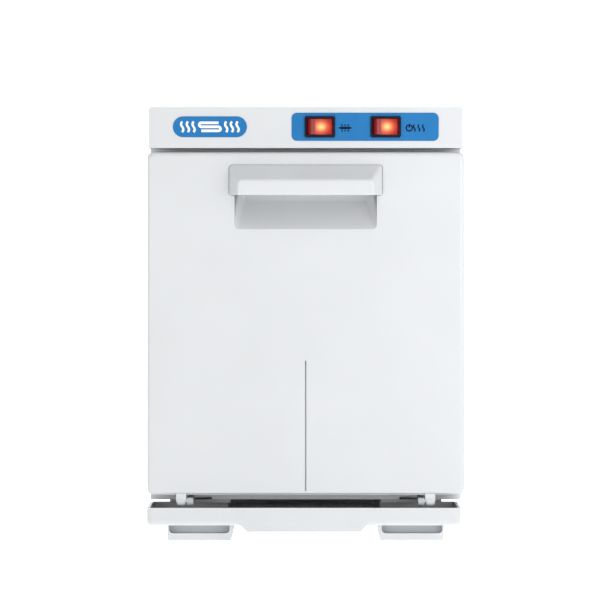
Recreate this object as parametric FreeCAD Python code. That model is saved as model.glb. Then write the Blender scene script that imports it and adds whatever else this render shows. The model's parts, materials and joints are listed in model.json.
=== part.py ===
import FreeCAD, Part
import math
import os

# Hot towel cabinet: a small heated cabinet with a drop-down front door, a control
# housing on top and a drip tray underneath.
# Axes: +X to the user's right, -Y towards the user, +Z up. The floor is z = 0, and the
# origin is at floor level in the middle of the whole object. All sizes in millimetres.

V = FreeCAD.Vector
X_AXIS = V(1, 0, 0)
Y_AXIS = V(0, 1, 0)
Z_AXIS = V(0, 0, 1)

# ---------------------------------------------------------------- driving dimensions
# Cabinet body
body_width = 220.0
body_depth = 217.0
cabinet_height = 305.3
base_height = 28.3          # floor to the underside of the body
cap_height = 28.9
sheet = 1.2                 # painted steel sheet
pan_upturn = 12.0           # base pan's edges, turned up inside the wrap
wire_pass_radius = 6.0
wire_pass_inset = 30.0
frame_flange = 3.0          # front frame, in front of the steel wrap
frame_spigot_depth = 9.0
frame_spigot_wall = 2.5
drain_slot = (66.5, 85.5)   # slot in the frame's foot beside each knuckle, from the middle
drain_slot_height = 1.7
corner_radius = 2.5

# Chamber
chamber_wall = 1.0
chamber_side_space = 24.0   # body side to the chamber's inside face
chamber_floor_space = 32.0  # body underside to the chamber's inside face
chamber_head_space = 32.0
chamber_rear_space = 49.0
chamber_flange = 3.0        # beyond the chamber's outside, behind the front frame
insulation_gap = 0.8        # around every insulation pad

# Door
door_thickness = 27.0
door_side_lap = 1.1         # door edge beyond the body side
door_cap_gap = 2.8
door_body_gap = 2.0
door_bottom_rise = 5.0      # door's lower edge above the body underside
door_wall = 2.5
door_corner_radius = 4.5
door_edge_radius = 3.0
liner_thickness = 1.5
liner_plug_height = 3.0     # raised panel that stands into the chamber mouth
liner_plug_margin = 4.0
plug_radius = 6.0
gasket_width = 6.0
gasket_inset = 4.0          # chamber mouth to the gasket
gasket_radius = 6.0
running_clearance = 0.3     # between pieces that move past each other
groove_width = 1.0
groove_depth = 0.8
groove_length = 90.8
groove_foot = 3.2           # groove's lower end above the door's lower edge

# Handle: a grip that stands out of the door over a finger pocket
grip_projection = 13.0
grip_width = 107.4
grip_face_width = 94.8
grip_height = 21.2
grip_face_height = 10.3
grip_wall = 2.4
grip_edge_radius = 1.4
grip_top_drop = 9.1         # grip's upper edge below the door's upper edge
pocket_width = 99.8
pocket_height = 23.8        # below the grip
pocket_depth = 15.0
pocket_slope = 0.92         # share of its height that the sloping floor climbs
pocket_rise = 11.0          # pocket's reach up behind the grip

# Hinge
hinge_set_back = 2.5        # axis behind the door's front face
hinge_rise = 0.7            # axis above the body underside
knuckle_radius = 3.2
knuckle_width = 7.0
knuckle_centre = 87.2
knuckle_face_step = 0.6     # knuckle's web behind the door's front face
pin_radius = 1.5
pin_clearance = 0.05
bracket_width = 30.0
bracket_ear = 4.5           # the ear that carries the pin, at the bracket's outer end
bracket_radius = 3.0
bracket_plate = 2.3
bracket_top_trim = 0.6      # arm's flat top, below the full round
bracket_body_gap = 0.5
pin_inset = 1.0             # pin's blind end inside the bracket's ear
bracket_side_gap = 0.4
bracket_pillar_gap = 3.0    # bracket plate's rear edge to the foot pillar

# Control fascia
cap_wall = 2.5
underplate = 2.0
panel_left = -9.9
panel_width = 103.0
panel_height = 19.7
panel_thickness = 0.4
panel_radius = 3.8
badge_left = -93.0
badge_width = 51.9
badge_height = 14.6
fascia_centre_drop = 14.1   # switch, panel and badge centre line below the cap's top
lamp_switch_x = 9.9
power_switch_x = 56.0
symbol_thickness = 0.15

# Printed signs
symbol_drop = 0.8           # panel signs' centre line below the switches'
lamp_sign_x = 27.6
lamp_sign_width = 9.2
lamp_sign_tube = 1.7        # drawn tube's height
lamp_sign_pin = 1.3         # drawn pin at each of its ends
lamp_ray_length = 1.2
lamp_ray_gap = 0.5
lamp_ray_pitch = 2.2
power_sign_x = 72.5
power_ring_radius = 2.6
power_bar_top = 3.0
power_bar_foot = 0.2
power_ring_gap = 1.9
sign_line = 0.9             # stroke of the panel signs
heat_wave_x = 79.2          # middle of the three waves beside the power sign
heat_wave_pitch = 3.2
heat_wave_height = 4.8
heat_wave_swing = 0.55
towel_half = 6.0            # straight part of the folded towel, from the badge's middle
towel_fold_pitch = 2.8
towel_line = 1.8
steam_start = 11.4          # first wisp from the badge's middle
steam_pitch = 4.0
steam_height = 7.4
steam_swing = 0.8
steam_line = 1.5
wave_steps = 16             # straight runs that make up a wave or a fold

# Rocker switches, mounted on their sides, so that each rocks about a vertical axis
bezel_width = 21.2
bezel_height = 14.9
bezel_thickness = 1.5
bezel_radius = 1.0
switch_body_width = 19.7
switch_body_height = 13.4
switch_body_depth = 20.0
switch_well_depth = 9.0
switch_lip = 0.3            # bezel's edge overlaps the rocker's swing
switch_tab_length = 7.0
switch_tab_pitch = 6.0
switch_tab_width = 6.0
rocker_height = 10.9
rocker_swing_radius = 9.3
rocker_angle = 8.0          # each way from the middle
rocker_face_radius = 5.0    # pivot to the middle of the rocker's face
rocker_pivot_depth = 4.5    # pivot behind the bezel's face
rocker_back = 2.0           # rocker's flat back behind the pivot
rocker_axle_radius = 1.0
rocker_axle_length = 0.8
rocker_axle_end_gap = 0.1
rocker_clearance = 0.25

# Drip tray
tray_width = 219.6
tray_side_play = 1.6        # tongue's play in its rails, each way
tray_offset = -1.3          # the loose tray lies towards the left
tray_lip_proud = 4.0        # tray front ahead of the door's front face
tray_gutter_reach = 27.0    # gutter's rear behind the body's front face
tray_tongue_width = 113.0
tray_tongue_length = 120.0
tray_bottom = 12.25         # underside above the floor
tray_rim_drop = 3.6         # rim below the body underside
tray_wall = 2.0
tray_corner_radius = 3.9
tray_flap_width = 87.8
tray_flap_foot_width = 79.4
tray_flap_drop = 4.2
tray_flap_thickness = 2.5
rail_wall = 1.6
rail_ledge = 7.0
rail_flange = 4.0
rail_foot_gap = 1.0         # rail's ends to the feet in front and behind

# Feet
foot_centre = 74.0
foot_width = 47.0
foot_length = 70.0
foot_set_back = 12.0        # foot's front behind the door's front face
foot_lift = 0.8             # plastic above the floor, where the rubber pad shows
foot_tray_gap = 0.6
foot_lip_height = 5.6
foot_notch_depth = 9.0
foot_notch_outer = 1.2      # notch to the foot's outer side
foot_notch_inner = 3.0      # notch to its inner side, which tapers
foot_taper_inner = 2.0      # foot's sides draw in towards the floor
foot_taper_outer = 0.5
foot_notch_radius = 3.0
foot_pillar_length = 22.0
foot_gutter_gap = 1.0
foot_corner_radius = 3.0
pad_radius = 9.0
pad_thickness = 2.4

# Wire rack
rack_height = 22.0          # chamber floor to the rack's underside
rack_wire = 2.4
rack_rim_wire = 4.0
rack_side_clearance = 3.0
rack_wall_height = 18.0
rack_travel = 20.0
rack_front_gap = 2.0        # rack pulled forward, to the door's raised panel
rack_pitch = 14.0
rail_rib = 6.0
rail_rib_thickness = 1.4
rail_end_gap = 8.0

# Heater, thermal cut-outs and lamp
heater_thickness = 3.0
heater_margin = 14.0
heater_corner_radius = 4.0
thermostat_x = 24.0
thermostat_radius = 8.5
thermostat_flange = 4.0
thermostat_height = 10.0
thermostat_tab = 5.0
thermostat_step = 1.5       # cup inside the flange's edge
tab_thickness = 0.8         # flat terminals of the thermostat and the switches
tab_sink = 0.5
fuse_x = -20.0
fuse_radius = 2.5
fuse_length = 14.0
fuse_clip = 1.0
cutout_rise = 40.0          # above the chamber floor
insulation_rear_thickness = 21.2
lamp_radius = 8.0
lamp_length = 134.0
lamp_drop = 13.0            # lamp axis below the chamber ceiling
lamp_behind_middle = 18.0
lamp_holder_width = 9.0
lamp_holder_depth = 20.0
lamp_holder_radius = 1.5
lamp_pin_radius = 1.2
lamp_pin_length = 6.0
lamp_pin_offset = 2.5
guard_half_width = 15.0
guard_drop = 26.0
guard_sheet = 0.8
guard_slot = 5.0
guard_pitch = 12.0
guard_rim = 8.0
guard_spine = 4.0
guard_end_gap = 2.0

# Electrics in the control housing
ballast_size = (64.0, 34.0, 17.0)
ballast_corner = (-80.0, 30.0)      # from the middle, and behind the body's front
ballast_foot = 7.0
ballast_plate = 2.0
starter_corner = (-70.0, 90.0)
starter_radius = 9.0
starter_length = 32.0
starter_socket = 10.0
terminal_size = (40.0, 18.0, 14.0)
terminal_corner = (20.0, 147.0)
terminal_poles = 4
terminal_hole = 2.0

# Rear
gland_projection = 8.0
gland_inside = 8.0
gland_flange = 3.0
gland_radius = 8.0
gland_flange_radius = 11.0
gland_step = 1.5            # nose inside the barrel's radius
gland_bore_radius = 3.6
gland_height = 34.0         # above the body underside
vent_slot_length = 60.0
vent_slot_height = 3.0
vent_slot_pitch = 8.0
vent_slot_count = 6

# Fasteners
screw_radius = 1.5
screw_length = 7.0
screw_head_radius = 2.9
screw_head_height = 1.8
low_head_height = 1.0  # the hinge screws' low heads, which the drip tray passes beneath
screw_recess_radius = 1.2
screw_inset = 8.0

# Magnetic catch
catch_width = 36.0
catch_height = 9.0
catch_depth = 7.0
catch_reveal = 0.6
strike_thickness = 1.0

# ---------------------------------------------------------------- worked-out planes
overall_depth = grip_projection + door_thickness + door_body_gap + body_depth + gland_projection
front = -overall_depth / 2 + grip_projection
door_back = front + door_thickness
body_front = door_back + door_body_gap
body_back = body_front + body_depth
body_half = body_width / 2
body_top = cabinet_height - cap_height
wrap_front = body_front + frame_flange
wrap_back = body_back - sheet

chamber_half = body_half - chamber_side_space
chamber_low = base_height + chamber_floor_space
chamber_high = body_top - chamber_head_space
chamber_back = body_back - chamber_rear_space

door_half = body_half + door_side_lap
door_low = base_height + door_bottom_rise
door_high = body_top - door_cap_gap
grip_high = door_high - grip_top_drop
grip_low = grip_high - grip_height
pocket_low = grip_low - pocket_height
hinge_y = front + hinge_set_back
hinge_height = base_height + hinge_rise

fascia_z = cabinet_height - fascia_centre_drop
tray_front = front - tray_lip_proud
gutter_back = body_front + tray_gutter_reach
tray_rim = base_height - tray_rim_drop
tongue_half = tray_tongue_width / 2
tongue_back = gutter_back + tray_tongue_length


# ---------------------------------------------------------------- small tools
def block(x, y, z):
    """A box between pairs of planes, each a (low, high) pair."""
    return Part.makeBox(x[1] - x[0], y[1] - y[0], z[1] - z[0], V(x[0], y[0], z[0]))


def rod(radius, length, start, axis):
    return Part.makeCylinder(radius, length, V(*start), axis)


def prism(points, path):
    """A flat outline, swept straight along path."""
    corners = [V(*p) for p in points]
    return Part.Face(Part.makePolygon(corners + corners[:1])).extrude(path)


def edges_along(shape, axis):
    """The straight edges that run along an axis."""
    found = []
    for edge in shape.Edges:
        if isinstance(edge.Curve, Part.Line) and len(edge.Vertexes) == 2:
            run = (edge.Vertexes[1].Point - edge.Vertexes[0].Point).normalize()
            if abs(run.dot(axis)) > 0.999:
                found.append(edge)
    return found


def edges_at(shape, place, tolerance=0.01):
    """The edges that lie wholly where place(point) is true."""
    found = []
    for edge in shape.Edges:
        ends = [edge.valueAt(edge.FirstParameter), edge.valueAt(edge.LastParameter)]
        middle = edge.valueAt((edge.FirstParameter + edge.LastParameter) / 2)
        if all(place(p, tolerance) for p in ends + [middle]):
            found.append(edge)
    return found


def rounded(shape, radius, axis):
    return shape.makeFillet(radius, edges_along(shape, axis))


def mirrored(shape):
    """The left-hand copy of a right-hand piece."""
    return shape.mirror(V(0, 0, 0), X_AXIS)


def ring(outer, inner):
    """A plate with a window: outer and inner are (x, y, z) sets of planes."""
    return block(*outer).cut(block(*inner))


def save(name, *solids):
    shape = solids[0] if len(solids) == 1 else Part.makeCompound(list(solids))
    shape.exportStep(os.path.join("parts", name + ".step"))


def screw(head_centre, into, head_height=screw_head_height):
    """A pan-head screw: its head stands on the surface at head_centre, and it runs along into."""
    out = into * -1
    head = rod(screw_head_radius, head_height, head_centre, out)
    shank = rod(screw_radius, screw_length, head_centre, into)
    recess = rod(screw_recess_radius, head_height / 2, V(*head_centre) + out * head_height, into)
    return head.fuse(shank).cut(recess)


def screw_hole(head_centre, into):
    return rod(screw_radius, screw_length, head_centre, into)


# ---------------------------------------------------------------- fastener places
back_screw_places = [
    (side * (body_half - screw_inset), body_back, z)
    for side in (-1, 1)
    for z in (base_height + screw_inset, (base_height + body_top) / 2, body_top - screw_inset)
]
pillar_front = gutter_back + foot_gutter_gap
pillar_back = pillar_front + foot_pillar_length
foot_far = front + foot_set_back + foot_length
foot_outer = foot_centre + foot_width / 2
rear_shift = body_back + front  # turns a front foot's place into the rear foot's
rail_inner = tongue_half + tray_side_play
rail_outer = rail_inner + rail_wall + rail_flange
pillar_inner = rail_outer + foot_gutter_gap
pillar_centre = (pillar_inner + foot_outer) / 2


def foot_screw_places():
    """Under the base pan the screws go down into the foot pillars from inside."""
    middle = (pillar_front + pillar_back) / 2
    return [
        (side * pillar_centre, y, base_height + sheet)
        for side in (-1, 1)
        for y in (middle, rear_shift - middle)
    ]


bracket_outer = knuckle_centre - knuckle_width / 2 - bracket_side_gap
bracket_inner = bracket_outer - bracket_width
bracket_back = pillar_front - bracket_pillar_gap
hinge_screw_y = body_front + frame_flange + frame_spigot_depth + screw_head_radius
hinge_screw_tip = base_height - bracket_plate + screw_length
hinge_screw_places = [
    (side * (bracket_inner + bracket_width * share), hinge_screw_y, base_height - bracket_plate)
    for side in (-1, 1)
    for share in (0.25, 0.75)
]
rail_front = foot_far + rail_foot_gap
rail_back = rear_shift - rail_front
rail_screw_places = [
    (side * (rail_inner + rail_wall + rail_flange / 2), y, base_height + sheet)
    for side in (-1, 1)
    for y in (rail_front + screw_inset, rail_back - screw_inset)
]


# ---------------------------------------------------------------- body casing
def outer_wrap():
    """Folded steel sheet: both sides and the top."""
    outer = block((-body_half, body_half), (wrap_front, wrap_back), (base_height, body_top))
    inner = block(
        (-body_half + sheet, body_half - sheet),
        (wrap_front - 1, wrap_back + 1),
        (base_height - 1, body_top - sheet),
    )
    wire_pass = rod(
        wire_pass_radius, 4 * sheet, (0, wrap_back - wire_pass_inset, body_top - 2 * sheet), Z_AXIS
    )
    return outer.cut(inner).cut(wire_pass)


def base_pan():
    """Steel floor with edges turned up inside the wrap."""
    half = body_half - sheet
    front_edge = wrap_front + frame_spigot_depth
    pan = block((-half, half), (front_edge, wrap_back), (base_height, base_height + pan_upturn))
    hollow = block(
        (-half + sheet, half - sheet),
        (front_edge - 1, wrap_back - sheet),
        (base_height + sheet, base_height + pan_upturn + 1),
    )
    pan = pan.cut(hollow)
    for place in foot_screw_places() + rail_screw_places:
        pan = pan.cut(screw_hole(place, V(0, 0, -1)))
    for place in hinge_screw_places:
        pan = pan.cut(screw_hole(place, Z_AXIS))
    for place in back_screw_places:
        pan = pan.cut(screw_hole(place, V(0, -1, 0)))
    return pan


def back_cover():
    cover = block((-body_half, body_half), (wrap_back, body_back), (base_height, body_top))
    cover = rounded(cover, corner_radius, Y_AXIS)
    for index in range(vent_slot_count):
        z = body_top - chamber_head_space - index * vent_slot_pitch
        slot_x = (-vent_slot_length / 2, vent_slot_length / 2)
        cover = cover.cut(block(slot_x, (wrap_back - 1, body_back + 1), (z, z + vent_slot_height)))
    gland_centre = (0, wrap_back - sheet, base_height + gland_height)
    cover = cover.cut(rod(gland_radius, 4 * sheet, gland_centre, Y_AXIS))
    for place in back_screw_places:
        cover = cover.cut(screw_hole(place, V(0, -1, 0)))
    return cover


def back_flange():
    """Inner frame of bent steel that the back cover's screws bite into."""
    half = body_half - sheet
    low = base_height + sheet
    high = body_top - sheet
    near = wrap_back - screw_length
    width = 2 * screw_inset - sheet
    flange = ring(
        ((-half + sheet, half - sheet), (near, wrap_back - sheet), (low, high)),
        ((-half + width, half - width), (near - 1, wrap_back + 1), (low + width, high - width)),
    )
    for place in back_screw_places:
        flange = flange.cut(screw_hole(place, V(0, -1, 0)))
    return flange


def front_frame():
    """Moulded frame round the chamber mouth, with a spigot that plugs into the wrap. Slots in
    its foot let condensed water drip into the tray."""
    flange = block((-body_half, body_half), (body_front, wrap_front), (base_height, body_top))
    spigot_half = body_half - sheet
    spigot = ring(
        (
            (-spigot_half, spigot_half),
            (wrap_front, wrap_front + frame_spigot_depth),
            (base_height, body_top - sheet),
        ),
        (
            (-spigot_half + frame_spigot_wall, spigot_half - frame_spigot_wall),
            (wrap_front - 1, wrap_front + frame_spigot_depth + 1),
            (base_height + frame_spigot_wall, body_top - sheet - frame_spigot_wall),
        ),
    )
    frame = flange.fuse(spigot).removeSplitter()
    mouth = block(
        (-chamber_half, chamber_half), (body_front - 1, wrap_front + 1), (chamber_low, chamber_high)
    )
    catch_window = block(
        (-catch_width / 2, catch_width / 2),
        (body_front - 1, wrap_front + 1),
        (catch_low, catch_low + catch_height),
    )
    frame = frame.cut(mouth).cut(catch_window)
    for side in (-1, 1):
        ends = sorted(side * place for place in drain_slot)
        frame = frame.cut(
            block(
                ends,
                (body_front - 1, wrap_front + frame_spigot_depth + 1),
                (base_height - 1, base_height + drain_slot_height),
            )
        )
    return frame


catch_low = (chamber_high + body_top - catch_height) / 2


# ---------------------------------------------------------------- chamber and its fittings
def chamber():
    """Aluminium box, open to the front, with a narrow flange behind the front frame."""
    wall = chamber_wall
    outer = block(
        (-chamber_half - wall, chamber_half + wall),
        (wrap_front, chamber_back + wall),
        (chamber_low - wall, chamber_high + wall),
    )
    flange = block(
        (-chamber_half - wall - chamber_flange, chamber_half + wall + chamber_flange),
        (wrap_front, wrap_front + wall),
        (chamber_low - wall - chamber_flange, chamber_high + wall + chamber_flange),
    )
    inner = block(
        (-chamber_half, chamber_half), (wrap_front - 1, chamber_back), (chamber_low, chamber_high)
    )
    box = outer.fuse(flange).cut(inner)
    return box.removeSplitter()


lamp_y = (wrap_front + chamber_back) / 2 + lamp_behind_middle
lamp_z = chamber_high - lamp_drop


def uv_lamp():
    """Straight tube with a metal cap and two pins at each end."""
    tube = rod(lamp_radius, lamp_length, (-lamp_length / 2, lamp_y, lamp_z), X_AXIS)
    for side in (-1, 1):
        for offset in (-lamp_pin_offset, lamp_pin_offset):
            start = (side * lamp_length / 2, lamp_y, lamp_z + offset)
            tube = tube.fuse(rod(lamp_pin_radius, lamp_pin_length, start, X_AXIS * side))
    return tube


def lamp_holder():
    near = lamp_length / 2
    holder = block(
        (near, near + lamp_holder_width),
        (lamp_y - lamp_holder_depth / 2, lamp_y + lamp_holder_depth / 2),
        (lamp_z - lamp_radius, chamber_high),
    )
    holder = rounded(holder, lamp_holder_radius, Y_AXIS)
    for offset in (-lamp_pin_offset, lamp_pin_offset):
        holder = holder.cut(
            rod(lamp_pin_radius, lamp_pin_length, (near, lamp_y, lamp_z + offset), X_AXIS)
        )
    return holder


def lamp_guard():
    """Slotted channel under the lamp, fixed to the chamber ceiling."""
    half_length = lamp_length / 2 + lamp_holder_width + guard_end_gap
    y = (lamp_y - guard_half_width, lamp_y + guard_half_width)
    z = (chamber_high - guard_drop, chamber_high)
    outer = block((-half_length, half_length), y, z)
    inner = block(
        (-half_length - 1, half_length + 1),
        (y[0] + guard_sheet, y[1] - guard_sheet),
        (z[0] + guard_sheet, z[1] + 1),
    )
    guard = outer.cut(inner)
    count = int((2 * half_length - guard_pitch) / guard_pitch)
    for index in range(count):
        x = (index - (count - 1) / 2) * guard_pitch
        slot_z = (z[0] - 1, z[1] - guard_rim)
        slot = block((x - guard_slot / 2, x + guard_slot / 2), (y[0] - 1, y[1] + 1), slot_z)
        spine_y = (lamp_y - guard_spine / 2, lamp_y + guard_spine / 2)
        spine = block((x - guard_slot, x + guard_slot), spine_y, z)
        guard = guard.cut(slot.cut(spine))
    return guard


def heater_mat():
    top = chamber_low - chamber_wall
    mat = block(
        (-chamber_half + heater_margin, chamber_half - heater_margin),
        (wrap_front + heater_margin, chamber_back - heater_margin),
        (top - heater_thickness, top),
    )
    return rounded(mat, heater_corner_radius, Z_AXIS)


cutout_z = chamber_low + cutout_rise
cutout_face = chamber_back + chamber_wall


def thermostat():
    """Round snap-action cut-out on the chamber's rear wall, with two tabs."""
    centre = (thermostat_x, cutout_face, cutout_z)
    disc = rod(thermostat_radius, thermostat_flange, centre, Y_AXIS)
    shape = disc.fuse(rod(thermostat_radius - thermostat_step, thermostat_height, centre, Y_AXIS))
    top = cutout_face + thermostat_height
    for side in (-1, 1):
        x = thermostat_x + side * thermostat_radius / 2
        tab = block(
            (x - tab_thickness / 2, x + tab_thickness / 2),
            (top - tab_sink, top + thermostat_tab),
            (cutout_z - thermostat_tab / 2, cutout_z + thermostat_tab / 2),
        )
        shape = shape.fuse(tab)
    return shape


def thermal_fuse():
    """Small can clipped to the chamber's rear wall."""
    half = fuse_length / 4
    reach = 3 * fuse_radius
    clip = block(
        (fuse_x - half, fuse_x + half),
        (cutout_face, cutout_face + fuse_clip),
        (cutout_z - reach, cutout_z + reach),
    )
    centre = (fuse_x - fuse_length / 2, cutout_face + fuse_clip / 2 + fuse_radius, cutout_z)
    can = rod(fuse_radius, fuse_length, centre, X_AXIS)
    return clip.fuse(can)


def insulation_side():
    """Right-hand pad between the chamber and the steel side."""
    return block(
        (chamber_half + chamber_wall + insulation_gap, body_half - 2 * sheet - insulation_gap),
        (wrap_front + frame_spigot_depth + insulation_gap, chamber_back),
        (base_height + sheet + insulation_gap, body_top - sheet - insulation_gap),
    )


def insulation_top():
    reach = chamber_half + chamber_wall
    return block(
        (-reach, reach),
        (wrap_front + frame_spigot_depth + insulation_gap, chamber_back),
        (chamber_high + chamber_wall + insulation_gap, body_top - sheet - insulation_gap),
    )


def insulation_floor():
    reach = chamber_half + chamber_wall
    return block(
        (-reach, reach),
        (wrap_front + frame_spigot_depth + insulation_gap, chamber_back),
        (
            max(base_height + sheet + screw_head_height, hinge_screw_tip) + insulation_gap,
            chamber_low - chamber_wall - heater_thickness - insulation_gap,
        ),
    )


def insulation_rear():
    """Rear pad, cut out round the thermostat and the fuse."""
    reach = chamber_half + chamber_wall
    pad = block(
        (-reach, reach),
        (cutout_face + insulation_gap, cutout_face + insulation_gap + insulation_rear_thickness),
        (chamber_low - chamber_wall, chamber_high + chamber_wall),
    )
    window = block(
        (fuse_x - fuse_length, thermostat_x + 2 * thermostat_radius),
        (cutout_face, cutout_face + 2 * insulation_rear_thickness),
        (cutout_z - 2 * thermostat_radius, cutout_z + 2 * thermostat_radius),
    )
    return pad.cut(window)


def rack_rail():
    """Right-hand angle strip that the rack slides on."""
    top = chamber_low + rack_height - running_clearance
    y = (wrap_front + rail_end_gap, chamber_back - rail_end_gap)
    upright = block((chamber_half - rail_rib_thickness, chamber_half), y, (top - rail_rib, top))
    ledge = block((chamber_half - rail_rib, chamber_half), y, (top - rail_rib_thickness, top))
    return upright.fuse(ledge).removeSplitter()


def magnet_catch():
    """Magnet in a plastic case, clipped behind the front frame."""
    face = body_front + catch_reveal
    return block(
        (-catch_width / 2, catch_width / 2), (face, face + catch_depth), (catch_low, catch_low + catch_height)
    )


# ---------------------------------------------------------------- wire rack
def wire_rack():
    """Welded basket: a floor of cross wires, two rims and short uprights."""
    rim = rack_rim_wire / 2
    half = chamber_half - rack_side_clearance - rim
    near = wrap_front + rack_front_gap + rack_travel + rim
    far = chamber_back - rack_side_clearance - rim
    low = chamber_low + rack_height + rim
    high = low + rack_wall_height
    pieces = []
    for z in (low, high):
        for y in (near, far):
            pieces.append(rod(rim, 2 * half, (-half, y, z), X_AXIS))
        for x in (-half, half):
            pieces.append(rod(rim, far - near, (x, near, z), Y_AXIS))
    for x in (-half, half):
        for y in (near, far):
            for z in (low, high):
                pieces.append(Part.makeSphere(rim, V(x, y, z)))
            pieces.append(rod(rim, high - low, (x, y, low), Z_AXIS))
    wire = rack_wire / 2
    count = int(2 * half / rack_pitch)
    for index in range(1, count):
        x = -half + index * 2 * half / count
        pieces.append(rod(wire, far - near, (x, near, low), Y_AXIS))
        pieces.append(rod(wire, high - low, (x, far, low), Z_AXIS))
    for share in (1 / 3, 2 / 3):
        y = near + share * (far - near)
        pieces.append(rod(wire, 2 * half, (-half, y, low), X_AXIS))
        for side in (-half, half):
            pieces.append(rod(wire, high - low, (side, y, low), Z_AXIS))
    return pieces[0].multiFuse(pieces[1:])


# ---------------------------------------------------------------- control housing
def cap_housing():
    """Moulded top housing: its front is the control fascia, which overhangs the door."""
    outer = block((-body_half, body_half), (front, body_back), (body_top, cabinet_height))
    outer = rounded(outer, corner_radius, Y_AXIS)
    inner = block(
        (-body_half + cap_wall, body_half - cap_wall),
        (front + cap_wall, body_back - cap_wall),
        (body_top - 1, cabinet_height - cap_wall),
    )
    cap = outer.cut(inner)
    for x in (lamp_switch_x, power_switch_x):
        cap = cap.cut(
            block(
                (x - switch_body_width / 2, x + switch_body_width / 2),
                (front - 1, front + cap_wall + 1),
                (fascia_z - switch_body_height / 2, fascia_z + switch_body_height / 2),
            )
        )
    return cap


def cap_underplate():
    """Plate that closes the overhang above the door."""
    return block(
        (-body_half + cap_wall, body_half - cap_wall),
        (front + cap_wall, body_front),
        (body_top, body_top + underplate),
    )


def rounded_panel(left, width, height, radius, near, thickness):
    """A flat sheet on the fascia with rounded corners."""
    z = (fascia_z - height / 2, fascia_z + height / 2)
    return rounded(block((left, left + width), (near - thickness, near), z), radius, Y_AXIS)


def panel_overlay():
    overlay = rounded_panel(panel_left, panel_width, panel_height, panel_radius, front, panel_thickness)
    for x in (lamp_switch_x, power_switch_x):
        overlay = overlay.cut(
            block(
                (x - bezel_width / 2, x + bezel_width / 2),
                (front - 2, front + 1),
                (fascia_z - bezel_height / 2, fascia_z + bezel_height / 2),
            )
        )
    return overlay


def badge_overlay():
    end_radius = badge_height / 2 - 0.01
    return rounded_panel(badge_left, badge_width, badge_height, end_radius, front, panel_thickness)


symbol_face = front - panel_thickness
panel_sign_z = fascia_z - symbol_drop


def printed_line(points, width):
    """A printed band of even width along a run of (x, z) points."""
    upper = []
    lower = []
    for index, (x, z) in enumerate(points):
        before = points[max(index - 1, 0)]
        after = points[min(index + 1, len(points) - 1)]
        dx = after[0] - before[0]
        dz = after[1] - before[1]
        run = math.hypot(dx, dz)
        across = (-dz / run * width / 2, dx / run * width / 2)
        upper.append((x + across[0], symbol_face, z + across[1]))
        lower.append((x - across[0], symbol_face, z - across[1]))
    return prism(upper + lower[::-1], V(0, -symbol_thickness, 0))


def wave(x, z, height, swing, width):
    """A rising wave, as a sign for steam or heat."""
    points = []
    for step in range(wave_steps + 1):
        share = step / wave_steps
        points.append((x + swing * math.sin(2 * math.pi * share), z + (share - 0.5) * height))
    return printed_line(points, width)


def bend(x, z, radius, start, end):
    """Points round a part circle, between two angles in degrees."""
    points = []
    for step in range(wave_steps + 1):
        angle = math.radians(start + (end - start) * step / wave_steps)
        points.append((x + radius * math.cos(angle), z + radius * math.sin(angle)))
    return points


def panel_symbols():
    """A tube lamp with rays, then a power sign (a broken ring with a bar) and heat waves."""
    pin_half = lamp_sign_width / 2
    tube_half = pin_half - lamp_sign_pin
    tube = printed_line(
        [(lamp_sign_x - tube_half, panel_sign_z), (lamp_sign_x + tube_half, panel_sign_z)], lamp_sign_tube
    )
    pins = printed_line(
        [(lamp_sign_x - pin_half, panel_sign_z), (lamp_sign_x + pin_half, panel_sign_z)], lamp_sign_tube / 2
    )
    marks = [tube.fuse(pins).removeSplitter()]
    ray_start = lamp_sign_tube / 2 + lamp_ray_gap
    for column in (-1, 0, 1):
        for side in (-1, 1):
            x = lamp_sign_x + column * lamp_ray_pitch
            near = panel_sign_z + side * ray_start
            marks.append(printed_line([(x, near), (x, near + side * lamp_ray_length)], sign_line))
    half_gap = math.degrees(math.asin(power_ring_gap / 2 / power_ring_radius))
    ring_radius = power_ring_radius - sign_line / 2
    ring_run = bend(power_sign_x, panel_sign_z, ring_radius, 90 + half_gap, 450 - half_gap)
    marks.append(printed_line(ring_run, sign_line))
    bar = [(power_sign_x, panel_sign_z + power_bar_foot), (power_sign_x, panel_sign_z + power_bar_top)]
    marks.append(printed_line(bar, sign_line))
    for column in (-1, 0, 1):
        x = heat_wave_x + column * heat_wave_pitch
        marks.append(wave(x, panel_sign_z, heat_wave_height, heat_wave_swing, sign_line))
    return marks


def badge_symbols():
    """A towel in three folds, with three wisps of steam on each side of it."""
    middle = badge_left + badge_width / 2
    fold = towel_fold_pitch / 2
    towel_run = [(middle + towel_half, fascia_z + towel_fold_pitch)]
    towel_run += bend(middle - towel_half, fascia_z + fold, fold, 90, 270)
    towel_run += bend(middle + towel_half, fascia_z - fold, fold, 90, -90)
    towel_run.append((middle - towel_half, fascia_z - towel_fold_pitch))
    marks = [printed_line(towel_run, towel_line)]
    for side in (-1, 1):
        for column in range(3):
            x = middle + side * (steam_start + column * steam_pitch)
            marks.append(wave(x, fascia_z, steam_height, steam_swing, steam_line))
    return marks


# ---------------------------------------------------------------- switches
bezel_face = front - bezel_thickness
pivot_y = bezel_face + rocker_pivot_depth


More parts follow.
